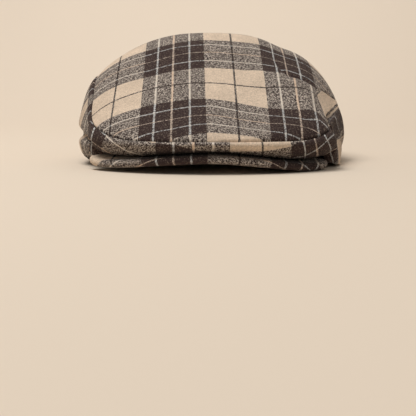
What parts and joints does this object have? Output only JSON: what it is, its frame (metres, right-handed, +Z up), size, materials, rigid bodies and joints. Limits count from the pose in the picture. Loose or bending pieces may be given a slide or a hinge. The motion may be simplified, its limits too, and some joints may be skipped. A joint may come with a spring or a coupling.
{
  "type": "flat cap",
  "caption": "Soft flat cap in plaid wool with a sloping top panel, turned-under front, puffed side panels and a short stiff peak, open below for the head.",
  "frame": {"origin": "on the table under the middle of the cap's box", "axes": "+X to the right seen from the front, -Y out of the front over the peak, +Z up"},
  "size_m": [0.226, 0.2766, 0.1106],
  "materials": {
    "plaid_wool": "woolly twill in dark brown, grey and beige plaid with white, beige and black lines"
  },
  "bodies": {
    "root": {"top_panel": "plaid_wool", "front_panel": "plaid_wool", "side_panel_right": "plaid_wool", "side_panel_left": "plaid_wool", "peak": "plaid_wool"}
  },
  "joints": []
}
